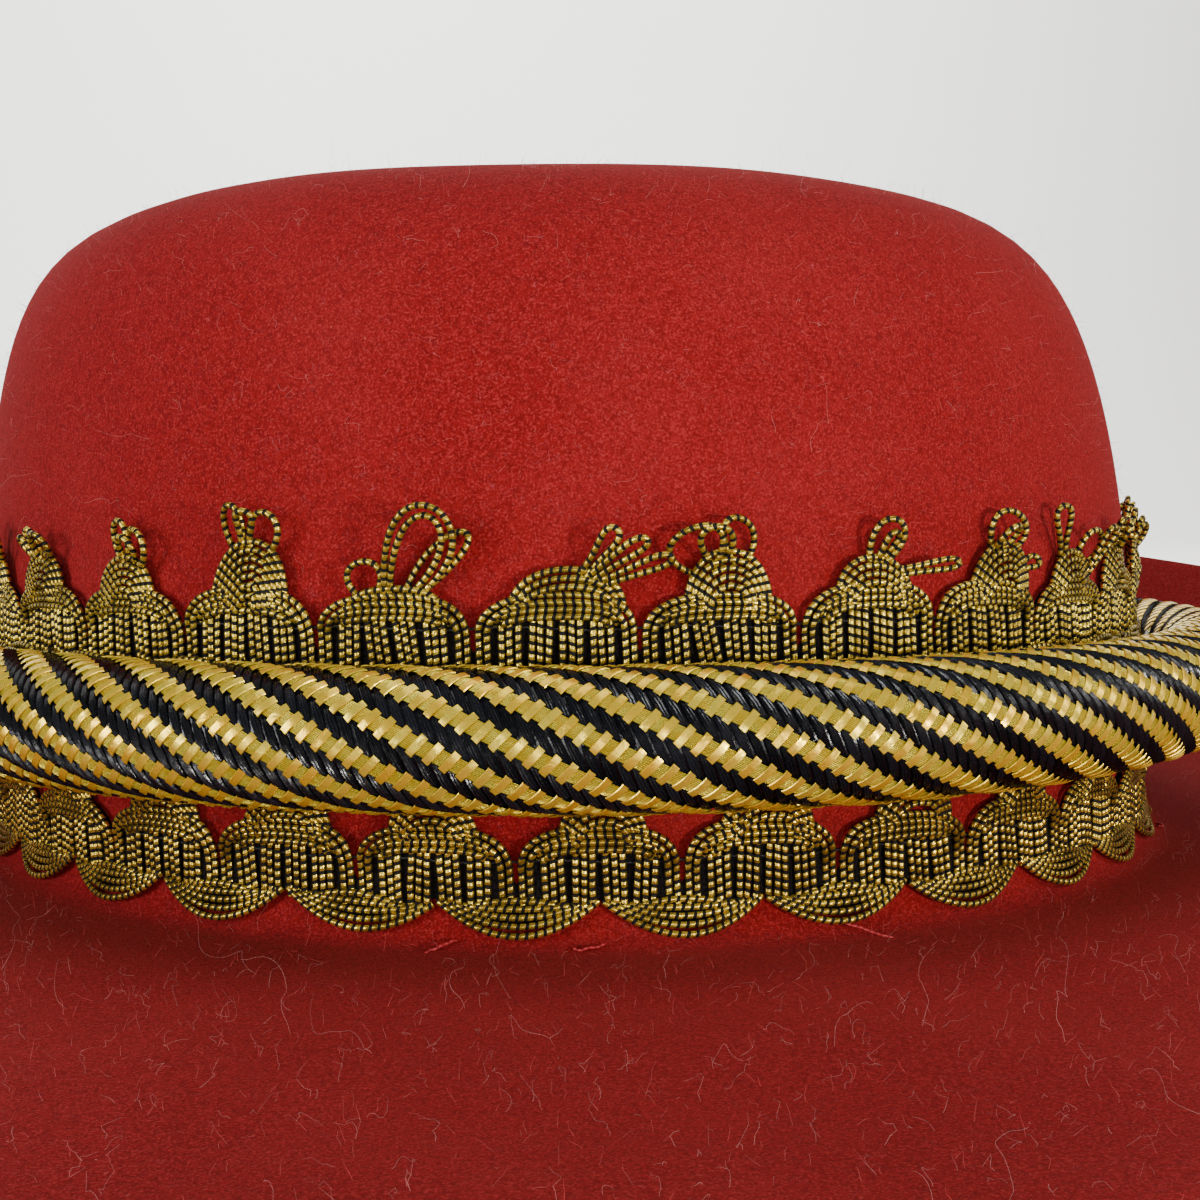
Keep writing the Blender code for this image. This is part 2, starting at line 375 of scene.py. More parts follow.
# A mound's tier: where it stands along the mound, its half width, how far it rises over the
# mound, and its picot loops. A loop: its foot's place along the mound, its lean in degrees, its
# length, its width across, and how far it stands off the crown, in degrees.
Tier = namedtuple("Tier", "place half_width rise loops")
Loop = namedtuple("Loop", "place lean length width stand")
PLAIN_TIER = Tier(0.53, 0.0050, 0.0036, ())
TIERS = {
    "round_and_sprigs": Tier(0.42, 0.0050, 0.0040, (
        Loop(0.52, 14, 0.0052, 0.0038, 30),
        Loop(0.44, -2, 0.0048, 0.0013, 30),
        Loop(0.36, -32, 0.0044, 0.0013, 24),
    )),
    "tangle": Tier(0.47, 0.0046, 0.0038, (
        Loop(0.46, 6, 0.0058, 0.0026, 18),
        Loop(0.56, 22, 0.0056, 0.0042, 20),
        Loop(0.50, 30, 0.0048, 0.0028, 30),
    )),
    "crowned": Tier(0.50, 0.0046, 0.0057, (
        Loop(0.46, 8, 0.0058, 0.0026, 16),
        Loop(0.60, 24, 0.0060, 0.0036, 16),
        Loop(0.52, 16, 0.0054, 0.0018, 24),
    )),
    "tall_pair": Tier(0.50, 0.0056, 0.0006, (
        Loop(0.53, 36, 0.0122, 0.0064, 15),
        Loop(0.60, 38, 0.0092, 0.0028, 9),
        Loop(0.37, -8, 0.0045, 0.0040, 14),
    )),
    "three_sprigs": Tier(0.55, 0.0058, 0.0026, (
        Loop(0.64, 34, 0.0080, 0.0018, 24),
        Loop(0.67, 48, 0.0084, 0.0016, 30),
        Loop(0.72, 64, 0.0086, 0.0015, 26),
    )),
    "round_pair": Tier(0.55, 0.0050, 0.0044, (
        Loop(0.42, -22, 0.0056, 0.0058, 26),
        Loop(0.50, -8, 0.0050, 0.0034, 36),
        Loop(0.63, 2, 0.0055, 0.0037, 16),
    )),
    "loop_and_tail": Tier(0.58, 0.0052, 0.0034, (
        Loop(0.55, 22, 0.0064, 0.0032, 24),
        Loop(0.56, 20, 0.0050, 0.0014, 30),
        Loop(0.70, 78, 0.0070, 0.0013, 26),
    )),
    "bunch_right": Tier(0.62, 0.0050, 0.0046, (
        Loop(0.62, 26, 0.0058, 0.0048, 26),
        Loop(0.60, 22, 0.0045, 0.0026, 34),
        Loop(0.80, 76, 0.0036, 0.0014, 20),
    )),
    "upright_pair": Tier(0.50, 0.0050, 0.0032, (
        Loop(0.42, -3, 0.0076, 0.0024, 20),
        Loop(0.62, 38, 0.0056, 0.0042, 30),
        Loop(0.74, 24, 0.0080, 0.0020, 30),
    )),
}
# The mounds in the middle of the front, by their number round the row: one of each kind.
FRONT_TIERS = dict(enumerate([*TIERS, "round_and_sprigs"], start=10))


def felt_outside(height):
    """The crown's outer radius across its width at a height, the bend at its foot included."""
    bend = BEND_INSIDE_RADIUS - FELT_THICKNESS
    below = np.clip(BEND_INSIDE_RADIUS - height, 0, bend)
    bulge = bend - np.sqrt(bend * bend - below * below)
    return HEAD_HALF_WIDTH * inside_share(height) + FELT_THICKNESS + bulge


def around(share, extra_radius=FELT_THICKNESS):
    """The angle at a share of the way round an oval, from its back over -X, and its length."""
    turn = np.linspace(-math.pi, math.pi, CURVE_SAMPLES)
    across = (HEAD_HALF_WIDTH + extra_radius) * np.sin(turn)
    way = travelled(np.column_stack([across, (HEAD_HALF_LENGTH + extra_radius) * np.cos(turn)]))
    return np.interp(np.mod(share, 1) * way[-1], way, turn), way[-1]


GIMP_LENGTH = around(0)[1]
REPEAT = GIMP_LENGTH / GIMP_REPEATS


def on_crown(route, foot, start):
    """A route of (along, up, off the felt) from a place on the crown, as points of the hat."""
    along, up, off = np.asarray(route).T
    angle = around(start + along / GIMP_LENGTH)[0]
    height = foot + up
    return oval(felt_outside(height) + off, angle, height)


def smooth_through(points, step):
    """A smooth curve through a few chosen points, in even steps of about this length."""
    points = np.asarray(points, float)
    first, last = 2 * points[:1] - points[1:2], 2 * points[-1:] - points[-2:-1]
    padded = np.concatenate([first, points, last])
    t = np.linspace(0, 1, 9)[:, None]
    pieces = []
    for before, here, there, after in zip(padded, padded[1:], padded[2:], padded[3:]):
        bent = 2 * before - 5 * here + 4 * there - after
        sharp = 3 * (here - there) + after - before
        pieces.append(here + 0.5 * t * ((there - before) + t * (bent + t * sharp)))
    curve = np.concatenate(pieces)
    return spread(curve, max(round(travelled(curve)[-1] / step), 2) + 1)


def arch(half_width, base, top, squareness):
    """Points (along, up) of a squared arch over the middle, its feet upright."""
    turn = np.linspace(math.pi, 0, 40)
    along = half_width * np.sign(np.cos(turn)) * np.abs(np.cos(turn)) ** (2 / squareness)
    up = base + (top - base) * np.sin(turn) ** (2 / squareness)
    return along, up


def mound_edge(from_middle):
    """The height of a mound's outermost strand, this far from the mound's middle."""
    half = REPEAT / 2 - VALLEY_GAP / 2 - STRAND_RADIUS
    share = np.minimum(np.abs(from_middle) / half, 1) ** MOUND_SQUARENESS
    return MOUND_SPRING + (MOUND_TOP - MOUND_SPRING) * (1 - share) ** (1 / MOUND_SQUARENESS)


def scallop_edge(from_valley):
    """The height of a scallop's lowest strand, this far from the valley over it."""
    return STRAND_RADIUS + SCALLOP_DROP * (np.abs(from_valley) / SCALLOP_HALF) ** 2.0


def group_places():
    """The places of the upright strands along a repeat, in their groups."""
    strands = sum(STRAND_GROUPS)
    gap = (REPEAT - VALLEY_GAP - strands * STRAND_SPACING) / (len(STRAND_GROUPS) - 1)
    place = (VALLEY_GAP + STRAND_SPACING) / 2
    for group in STRAND_GROUPS:
        yield [place + i * STRAND_SPACING for i in range(group)]
        place += group * STRAND_SPACING + gap


def upright_strands(draw):
    """The groups of upright strands, each group slanting its own way."""
    for group in group_places():
        slant = draw.normal(0, UPRIGHT_SLANT)
        for i, place in enumerate(group):
            from_valley = min(place, REPEAT - place)
            if from_valley < VALLEY_GAP / 2 + 2 * STRAND_SPACING:
                continue
            low = min(scallop_edge(from_valley) + FOOT_OVER_SCALLOP, HIGHEST_FOOT)
            high = min(mound_edge(place - REPEAT / 2) - TIP_UNDER_MOUND, HIGHEST_TIP)
            deep = UNDER + draw.normal(0, UPRIGHT_SWAY)
            sway = draw.normal(0, UPRIGHT_SWAY, 4)
            lifted = deep + UPRIGHT_LIFT
            points = [
                (place - slant + sway[0], low, deep),
                (place - slant / 3 + sway[1], low + (high - low) * 0.3, lifted),
                (place + slant / 3 + sway[2], low + (high - low) * 0.7, lifted),
                (place + slant + sway[3], high, deep),
            ]
            phase = i * AHEAD["upright"] - low / WINDING_PITCH
            yield smooth_through(points, STRAIGHT_STEP), phase


def mound_strands(draw):
    """The strands that turn over the upright ones into a mound, the outer ones down to its foot."""
    middle = REPEAT / 2
    skew = draw.normal(0, MOUND_SKEW)
    taller = draw.normal(0, MOUND_TALLER)
    for i in range(MOUND_STRANDS):
        half = middle - VALLEY_GAP / 2 - STRAND_RADIUS - i * STRAND_SPACING
        top = MOUND_TOP + taller - i * MOUND_PACKING * STRAND_SPACING
        base = MOUND_SPRING if i < LONG_LEGGED else INNER_SPRING - INNER_SPRING_STEP * i
        across, up = arch(half, base, top, MOUND_SQUARENESS)
        rise = np.clip((up - base) / (top - base), 0, 1)
        along = middle + across + skew * rise**2
        off = OVER + MOUND_RIPPLE * math.sin(i * 2.1) - (OVER - UNDER) * (1 - rise) ** 3
        route = np.column_stack([along, up, off])
        if i < LONG_LEGGED:
            ends = [(middle - half, LEG_FOOT, UNDER), (middle + half, LEG_FOOT, UNDER)]
            route = np.concatenate([ends[:1], route, ends[1:]])
        yield spread(route, round(LONG["mound"] * half / BENT_STEP)), i * AHEAD["mound"]


def scallop_strands(draw):
    """The strands that hang in a scallop under a valley, nested up to a nearly straight one."""
    deeper = draw.normal(0, SCALLOP_DEEPER)
    tilt = draw.normal(0, SCALLOP_TILT)
    for i in range(SCALLOP_STRANDS):
        half = SCALLOP_HALF - SCALLOP_NARROWER * i
        low = STRAND_RADIUS + i * STRAND_SPACING + max(deeper, 0)
        high = STRAND_RADIUS + SCALLOP_DROP - SCALLOP_END_STEP * i
        along = np.linspace(-half, half, 40)
        reach = np.abs(along / half)
        up = low + (high - low) * reach**2 + tilt * along
        off = OVER - (OVER - UNDER) * reach**5 - SCALLOP_LAYER * i
        route = np.column_stack([along, np.maximum(up, STRAND_RADIUS), off])
        yield spread(route, round(LONG["scallop"] * half / BENT_STEP)), i * AHEAD["scallop"]


def tier_strands(tier, draw):
    """The smaller arches that stand on a mound, nested."""
    middle = REPEAT * tier.place + draw.normal(0, TIER_SHIFT)
    skew = draw.normal(*TIER_SKEW)
    wider = draw.normal(0, TIER_WIDER)
    for i in range(math.ceil(tier.rise / STRAND_SPACING)):
        half = tier.half_width + wider - TIER_NARROWER * i * STRAND_SPACING
        top = MOUND_TOP + tier.rise - i * STRAND_SPACING
        across, up = arch(half, TIER_BASE, top, TIER_SQUARENESS)
        rise = np.clip((up - TIER_BASE) / (top - TIER_BASE), 0, 1)
        off = TIER_OFF + TIER_LEANS_OUT * rise + TIER_LAYER * i
        route = np.column_stack([middle + across + skew * rise, up, off])
        yield spread(route, round(LONG["tier"] * half / BENT_STEP)), i * AHEAD["tier"]


def picot_strands(tier, draw):
    """Standing loops of one strand each, round where they are wide, two legs together where not."""
    turn = np.linspace(0, 2 * math.pi, 60)
    for loop in tier.loops:
        lean = math.radians(loop.lean + draw.normal(0, PICOT_TURN))
        stand = math.radians(loop.stand + draw.normal(0, PICOT_TURN))
        twist = draw.normal(0, PICOT_TWIST)
        curl = draw.normal(0, PICOT_CURL)
        from_middle = abs(loop.place - tier.place) * REPEAT / tier.half_width
        foot = MOUND_TOP + tier.rise * (1 - min(from_middle, 1) ** 2) - PICOT_ROOT
        for inner in range(2 if loop.width > NESTED_PICOT_WIDTH else 1):
            length = loop.length - inner * NESTED_SHORTER * STRAND_SPACING
            width = loop.width - inner * NESTED_NARROWER * STRAND_SPACING
            open_foot = max(STRAND_RADIUS, OPEN_FOOT_SHARE * (width - OPEN_FOOT_WIDTH))
            out = length * (1 - np.cos(turn)) / 2
            pinch = 1 if width > ROUND_PICOT_WIDTH else 5
            bulge = np.sin(turn) * np.abs(np.sin(turn / 2)) ** pinch
            bulge *= (width / 2 - 0.5 * open_foot) / bulge.max()
            side = -open_foot * np.cos(turn / 2) - bulge
            bend = curl * out * out / length
            along = side * math.cos(lean) + out * math.sin(lean) + bend
            up = (out * math.cos(lean) - side * math.sin(lean)) * math.cos(stand)
            off = PICOT_OFF + out * math.sin(stand) + side * twist
            off = np.maximum(off, PICOT_LEAST_OFF)
            route = np.column_stack([REPEAT * loop.place + along, foot + up, off])
            yield spread(route, round(LONG["picot"] * length / PICOT_STEP)), draw.uniform()


def attribute(tree, name, output="Fac"):
    """An attribute of the mesh, for its material."""
    return put(tree, "ShaderNodeAttribute", output=output, attribute_name=name)


def way_round(tree):
    """The angle round a strand."""
    side = put(tree, "ShaderNodeSeparateXYZ", {0: attribute(tree, "round", "Vector")}).node.outputs
    return calc(tree, "ARCTAN2", side[1], side[0])


def wound_strip():
    """Black core wound with flat gold strip: the winding follows each strand's own length."""
    material, tree = new_material("gold_wound_strand")
    slant = calc(tree, "MULTIPLY", calc(tree, "SINE", way_round(tree)), WINDING_SLANT)
    turns = calc(tree, "MULTIPLY", attribute(tree, "along"), 1 / WINDING_PITCH)
    phase = calc(tree, "FRACT", calc(tree, "ADD", turns, slant))
    place = calc(tree, "ABSOLUTE", calc(tree, "SUBTRACT", phase, 0.5))
    strip = eased(tree, place, 0.33, 0.28)
    wear = grain(tree, 260, 2)
    dust = grain(tree, 4200, 2)
    core = (0.0075, 0.0068, 0.0062, 1)
    old_gold = (0.46, 0.315, 0.036, 1)
    bright_gold = (0.94, 0.70, 0.095, 1)
    dusty_gold = (0.20, 0.14, 0.05, 1)
    gold = blended(tree, eased(tree, wear, 0.36, 0.66), old_gold, bright_gold)
    gold = blended(tree, eased(tree, dust, 0.45, 0.75, 0.0, 0.4), gold, dusty_gold)
    dress(tree, Base_Color=blended(tree, strip, core, gold), Specular_IOR_Level=0.22)
    dress(tree, Metallic=calc(tree, "MULTIPLY", strip, 0.8))
    dress(tree, Roughness=eased(tree, strip, 0.0, 1.0, 0.62, 0.27))
    domed = calc(tree, "ADD", strip, calc(tree, "MULTIPLY", place, -1.1))
    height = calc(tree, "ADD", domed, calc(tree, "MULTIPLY", dust, 0.25))
    dress(tree, Normal=bumped(tree, height, 0.00011))
    return material


def new_geometry_tree(name, **sizes):
    """A Geometry Nodes tree that takes a shape and these named sizes and gives a shape."""
    tree = bpy.data.node_groups.new(name, "GeometryNodeTree")
    sockets = tree.interface
    sockets.new_socket("Geometry", in_out="OUTPUT", socket_type="NodeSocketGeometry")
    sockets.new_socket("Geometry", in_out="INPUT", socket_type="NodeSocketGeometry")
    for size, kind in sizes.items():
        sockets.new_socket(size, in_out="INPUT", socket_type="NodeSocket" + kind)
    return tree, tree.nodes.new("NodeGroupInput").outputs


def named(tree, name, kind="FLOAT"):
    """An attribute of the shape that a tree works on."""
    return put(tree, "GeometryNodeInputNamedAttribute", {"Name": name}, data_type=kind)


def store(tree, shape, name, value, **settings):
    """The shape with one more attribute."""
    inputs = {"Geometry": shape, "Name": name, "Value": value}
    return put(tree, "GeometryNodeStoreNamedAttribute", inputs, **settings)


def end_tree(tree, shape, given):
    """Realizes what the tree has made and gives it its material."""
    shape = put(tree, "GeometryNodeRealizeInstances", {"Geometry": shape})
    inputs = {"Geometry": shape, "Material": given["Material"]}
    shape = put(tree, "GeometryNodeSetMaterial", inputs)
    fill(tree, tree.nodes.new("NodeGroupOutput"), {"Geometry": shape})
    return tree


def strand_tree():
    """Makes a round strand along each polyline, and keeps the length along it and the way round."""
    tree, given = new_geometry_tree("strands", Radius="Float", Sides="Int", Material="Material")
    lines = put(tree, "GeometryNodeMeshToCurve", {"Mesh": given["Geometry"]})
    length = put(tree, "GeometryNodeSplineParameter", output="Length")
    along = calc(tree, "ADD", length, named(tree, "start"))
    lines = store(tree, lines, "along", along, data_type="FLOAT")
    circle = {"Resolution": given["Sides"], "Radius": given["Radius"]}
    profile = put(tree, "GeometryNodeCurvePrimitiveCircle", circle)
    place = put(tree, "GeometryNodeInputPosition")
    profile = store(tree, profile, "round", place, data_type="FLOAT_VECTOR")
    tubes = {"Curve": lines, "Profile Curve": profile, "Fill Caps": True}
    tubes = put(tree, "GeometryNodeCurveToMesh", tubes)
    tubes = put(tree, "GeometryNodeSetShadeSmooth", {"Geometry": tubes})
    return end_tree(tree, tubes, given)


def grow(source, tree, name, **values):
    """The plain mesh that a tree makes from the source with these values for its named inputs."""
    modifier = source.modifiers.new("grow", "NODES")
    modifier.node_group = tree
    for item in tree.interface.items_tree:
        key = item.name.replace(" ", "_").lower()
        if item.in_out == "INPUT" and key in values:
            modifier[item.identifier] = values[key]
    return as_plain_mesh(source, name)


def strands_along(routes, name, radius, sides, material, closed=False):
    """One mesh of strands along open or closed (points, start of the winding) routes."""
    points = []
    edges = []
    starts = []
    for route, start in routes:
        first = len(points)
        count = len(route)
        points.extend(route.tolist())
        starts.extend([start] * count)
        edges.extend((first + i, first + i + 1) for i in range(count - 1))
        if closed:
            edges.append((first + count - 1, first))
    mesh = new_mesh(name + "_lines", points, [], edges)
    mesh.attributes.new("start", "FLOAT", "POINT").data.foreach_set("value", starts)
    lines = add_object(name + "_lines", mesh)
    return grow(lines, strands, name, radius=radius, sides=sides, material=material)


def gimp_routes(node):
    """Every strand of one row, repeat by repeat, each a little different."""
    draw = np.random.default_rng(GIMP_SEEDS[node])
    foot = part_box(node)[0].z
    kinds = sorted(TIERS)
    for repeat in range(GIMP_REPEATS):
        start = (GIMP_TURNS[node] + repeat) / GIMP_REPEATS
        chosen = FRONT_TIERS.get(repeat, kinds[draw.integers(len(kinds))])
        tier = TIERS[chosen] if node == "upper_gimp_braid" else PLAIN_TIER
        made = [*upright_strands(draw), *mound_strands(draw), *scallop_strands(draw)]
        made += [*tier_strands(tier, draw), *picot_strands(tier, draw)]
        for route, phase in made:
            yield on_crown(route, foot, start), phase * WINDING_PITCH


strands = strand_tree()
winding = wound_strip()
for node in GIMP_NODES:
    name = node + "_strands"
    row = strands_along(gimp_routes(node), name, STRAND_RADIUS, STRAND_SIDES, winding)
    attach(row, "root")
    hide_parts(node)


# The ground of each row of gimp: a flat black band behind the strands. It shows only as the dark
# between them, partly the strands' own black cores and partly painted shade in the gaps.
GROUND_STATIONS = 30
GROUND_INSET = 0.0007
GROUND_OFF = (0.00002, 0.00028)
GROUND_HIGHEST_FOOT = 0.0039
# How high the black band reaches in the valleys between mounds, where it paints their shade.
VALLEY_GROUND = 0.0056


def ground_band(node):
    """A closed flat band behind one row: its top follows the mounds, its foot the scallops."""
    along = np.linspace(0, GIMP_LENGTH, GROUND_STATIONS * GIMP_REPEATS, endpoint=False)
    from_valley = np.abs(np.mod(along + REPEAT / 2, REPEAT) - REPEAT / 2)
    low = np.minimum(scallop_edge(from_valley) + GROUND_INSET, GROUND_HIGHEST_FOOT)
    high = mound_edge(REPEAT / 2 - from_valley) - GROUND_INSET
    high = np.where(from_valley < VALLEY_GAP, VALLEY_GROUND, high)
    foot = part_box(node)[0].z
    start = GIMP_TURNS[node] / GIMP_REPEATS
    rows = []
    for up, side in [(low, 0), (low, 1), (high, 1), (high, 0)]:
        route = np.column_stack([along, up, 0 * along + GROUND_OFF[side]])
        rows.append(on_crown(route, foot, start))
    count = len(along)
    faces = []
    for i in range(count):
        there = (i + 1) % count
        for row in range(len(rows)):
            here, above = row * count, (row + 1) % len(rows) * count
            faces.append((here + i, here + there, above + there, above + i))
    return np.concatenate(rows).tolist(), faces


def black_painted_shade():
    """Matt black with a fine woven grain: painted shade between the gimp's strands."""
    material, tree = new_material("black_cotton_ground")
    weave = grain(tree, 3000, 2)
    dark, light = (0.004, 0.0036, 0.0036, 1), (0.014, 0.011, 0.011, 1)
    colour = blended(tree, eased(tree, weave, 0.35, 0.65), dark, light)
    dress(tree, Base_Color=colour, Roughness=0.9, Specular_IOR_Level=0.1)
    dress(tree, Normal=bumped(tree, weave, 0.0001))
    return material


# The black band behind each row paints the shade between its strands.
painted_shade_material = black_painted_shade()
for node in GIMP_NODES:
    mesh = new_mesh(node + "_ground", *ground_band(node))
    mesh.materials.append(painted_shade_material)
    ground = add_object(node + "_ground", mesh)
    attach(ground, "root")


# The binding threads: one thin black thread that runs round each row of gimp, through the
# crossings of its strands. It holds the groups together and shows across the valleys.
BINDING_RADIUS = 0.00014
BINDING_HEIGHT = 0.0082
BINDING_DEPTH = 0.00045
BINDING_WAVE = 0.0002
BINDING_WEAVE = 0.00012
PLY_TURNS = 9000


def twisted_thread(name, dark, light, roughness, slanting):
    """Twisted thread, whose plies show as a fine ripple, slanting or straight across, darker in
    their grooves and lighter on their crests: painted shade and painted highlight.
    """
    material, tree = new_material(name)
    phase = calc(tree, "MULTIPLY", attribute(tree, "along"), PLY_TURNS)
    if slanting:
        phase = calc(tree, "ADD", phase, way_round(tree))
    ply = calc(tree, "SINE", phase)
    # Darker in the grooves between the plies and lighter on their crests: painted shade and painted
    # highlight.
    colour = blended(tree, eased(tree, ply, -1, 1), dark, light)
    dress(tree, Base_Color=colour, Roughness=roughness, Normal=bumped(tree, ply, 0.00005))
    return material


def binding_routes():
    """One wavy closed line for each row's thread."""
    along = np.linspace(0, GIMP_LENGTH, 12 * GIMP_REPEATS, endpoint=False)
    wave = np.sin(along / REPEAT * 2 * math.pi)
    up = BINDING_HEIGHT + BINDING_WAVE * wave
    route = np.column_stack([along, up, BINDING_DEPTH + BINDING_WEAVE * wave])
    for node in GIMP_NODES:
        yield on_crown(route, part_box(node)[0].z, GIMP_TURNS[node] / GIMP_REPEATS), 0.0


black_thread = twisted_thread(
    "black_thread", (0.006, 0.006, 0.007, 1), (0.024, 0.022, 0.024, 1), 0.55, slanting=True
)
name = "gimp_binding_threads"
binding = strands_along(binding_routes(), name, BINDING_RADIUS, 4, black_thread, closed=True)
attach(binding, "root")


# The braided cord: a fat filled tube, braided from flat gold strips one way and groups of three
# glossy black threads the other way, each over two and under two. So gold stripes and black ones
# wind round it. Gold lurex runs along the gold stripes under their strips.
STRIPES_ROUND_RING = 74
STRIPES_ROUND_CORD = 10
CROSSINGS_A_STRIPE = 4
GOLD_ROUND_RING = 268
BLACK_ROUND_RING = GOLD_ROUND_RING + CROSSINGS_A_STRIPE * STRIPES_ROUND_RING
ALL_ROUND_RING = GOLD_ROUND_RING + BLACK_ROUND_RING
STRIPS_ROUND_CORD = CROSSINGS_A_STRIPE * STRIPES_ROUND_CORD // 2
FLOAT_CROSSINGS = 2
# The part of the cord's girth that shows, as shares of it from the outermost line.
HIDDEN_BELOW = -0.37
HIDDEN_ABOVE = 0.41
FILLING_SINK = 0.00060
FILLING_SIDES = 32
FILLING_STATIONS = 160
LUREX_SINK = 0.00015
LUREX_ROUNDING = 0.00016
LUREX_HALF = 0.80
LUREX_ROWS = 50
LUREX_RIBS = 9
DIVE_POWER = 2.6
FLOAT_SWAY = 0.03
# How far the surface of a float lies under its top, at places across it from -1 to 1: a flat
# strip with thin edges, and a group of three threads.
GOLD_RELIEF = [(-1, 0.00011), (-0.86, 0), (0.86, 0), (1, 0.00011)]
THREAD_RELIEF = [(i / 3, 0.00017 * (i % 2)) for i in range(-2, 3)]
THREAD_RELIEF = [(-1, 0.00030), *THREAD_RELIEF, (1, 0.00030)]
# A family of floats: how far a float goes on past its crossings, its width, how far its top lies
# under the cord's skin, how much further its ends dive, and its relief.
Family = namedtuple("Family", "tail width sink dive relief")
FAMILIES = {
    "gold": Family(0.00018, 0.00090, 0.00002, 0.00020, GOLD_RELIEF),
    "black": Family(0.00045, 0.00096, 0.00016, 0.00050, THREAD_RELIEF),
}
cord_low, cord_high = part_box("braided_cord")
CORD_RADIUS = (cord_high.z - cord_low.z) / 2
CORD_HEIGHT = (cord_high.z + cord_low.z) / 2
RING_RADIUS = (cord_high.x - cord_low.x) / 2 - CORD_RADIUS
RING_LENGTH = around(0, RING_RADIUS - HEAD_HALF_WIDTH)[1]
CORD_GIRTH = 2 * math.pi * CORD_RADIUS


def cord_frame(share):
    """Points of the cord's middle line at shares of the ring, with its directions on and out."""
    angle = around(share, RING_RADIUS - HEAD_HALF_WIDTH)[0]
    middle = oval(RING_RADIUS, angle, CORD_HEIGHT)
    longer = RING_RADIUS + HEAD_HALF_LENGTH - HEAD_HALF_WIDTH
    on = np.stack([RING_RADIUS * np.cos(angle), longer * np.sin(angle), 0 * angle], axis=-1)
    on /= np.linalg.norm(on, axis=-1, keepdims=True)
    return middle, on, np.stack([on[..., 1], -on[..., 0], on[..., 2]], axis=-1)


def skin_place(on_ring, on_cord):
    """Middle, way on, way out and way round of the cord at shares of the ring and of its girth."""
    middle, on, out = cord_frame(on_ring)
    turn = on_cord[..., None] * 2 * math.pi
    up = np.array([0, 0, 1])
    outward = np.cos(turn) * out + np.sin(turn) * up
    return middle, on, outward, np.cos(turn) * up - np.sin(turn) * out


def family_way(round_ring):
    """The distance between the neighbours of one family, and their slope."""
    on_ring, on_cord = round_ring / RING_LENGTH, STRIPS_ROUND_CORD / CORD_GIRTH
    return 1 / math.hypot(on_ring, on_cord), math.atan2(on_ring, on_cord)


def float_places(family):
    """Where the floats of one family lie: centre, outward and lengthways."""
    ways = math.gcd(STRIPES_ROUND_RING, STRIPES_ROUND_CORD)
    strips = ALL_ROUND_RING * STRIPS_ROUND_CORD // CROSSINGS_A_STRIPE // ways
    strip, way = np.meshgrid(np.arange(strips), np.arange(ways), indexing="ij")
    strip = strip.ravel()
    apart = CROSSINGS_A_STRIPE * way.ravel()
    if family == "gold":
        round_ring, sign = GOLD_ROUND_RING, 1
        gold, black = strip, strip + apart + 0.5
    else:
        round_ring, sign = BLACK_ROUND_RING, -1
        gold, black = strip - apart - 2.5, strip
    on_ring = (gold + black) / ALL_ROUND_RING
    on_cord = GOLD_ROUND_RING * black - BLACK_ROUND_RING * gold
    on_cord = on_cord / (ALL_ROUND_RING * STRIPS_ROUND_CORD)
    on_cord = on_cord - np.round(on_cord)
    shows = (on_cord > HIDDEN_BELOW) & (on_cord < HIDDEN_ABOVE)
    middle, on, outward, climb = skin_place(on_ring[shows], on_cord[shows])
    slope = family_way(round_ring)[1]
    lengthways = math.cos(slope) * on + sign * math.sin(slope) * climb
    return middle + CORD_RADIUS * outward, outward, lengthways


def float_shape(family, half_length, slope):
    """One float about its own centre: it rises from under its neighbours, runs over and dives."""
    _, width, sink, dive, relief = FAMILIES[family]
    places = (-1, -0.6, 0, 0.6, 1)
    bend = (math.sin(slope) ** 2) / CORD_RADIUS / 2
    points = []
    for t in places:
        x = t * half_length
        z = -sink - bend * x * x - dive * abs(t) ** DIVE_POWER
        points += [(x, across * width / 2, z - drop) for across, drop in relief]
    count = len(relief)
    faces = []
    for row in range(len(places) - 1):
        for here in range(row * count, row * count + count - 1):
            there = here + count
            faces.append((here, there, there + 1, here + 1))
    mesh = new_mesh("float", points, faces)
    mesh.shade_smooth()
    mesh.set_sharp_from_angle(angle=math.radians(25))
    return bpy.data.objects.new("float", mesh)


def random_vector(tree, least, most, seed):
    inputs = {0: least, 1: most, "Seed": seed}
    return put(tree, "FunctionNodeRandomValue", inputs, data_type="FLOAT_VECTOR")


def turned_by(tree, rotation, turn):
    """A rotation turned further about its own axes."""
    inputs = {0: rotation, 1: turn}
    return put(tree, "FunctionNodeRotateRotation", inputs, rotation_space="LOCAL")


def float_tree():
    """Lays one float on each point, turned to its directions and a little its own way."""
    tree, given = new_geometry_tree(
        "floats", Float="Object", Unevenness="Float", Seed="Int", Material="Material"
    )
    outward = named(tree, "outward", "FLOAT_VECTOR")
    lengthways = named(tree, "lengthways", "FLOAT_VECTOR")
    axes = {"Primary Axis": outward, "Secondary Axis": lengthways}
    turned = put(
        tree, "FunctionNodeAxesToRotation", axes, primary_axis="Z", secondary_axis="X"
    )
    most = put(tree, "ShaderNodeCombineXYZ", {i: given["Unevenness"] for i in range(3)})
    least = put(tree, "ShaderNodeVectorMath", {0: most, "Scale": -1.0}, operation="SCALE")
    turned = turned_by(tree, turned, random_vector(tree, least, most, given["Seed"]))
    shape = put(tree, "GeometryNodeObjectInfo", {"Object": given["Float"]}, "Geometry")
    inputs = {"Points": given["Geometry"], "Instance": shape, "Rotation": turned}
    placed = put(tree, "GeometryNodeInstanceOnPoints", inputs)
    seed = {"Seed": given["Seed"]}
    shade = put(tree, "FunctionNodeRandomValue", seed, output=1, data_type="FLOAT")
    placed = store(tree, placed, "shade", shade, data_type="FLOAT", domain="INSTANCE")
    return end_tree(tree, placed, given)


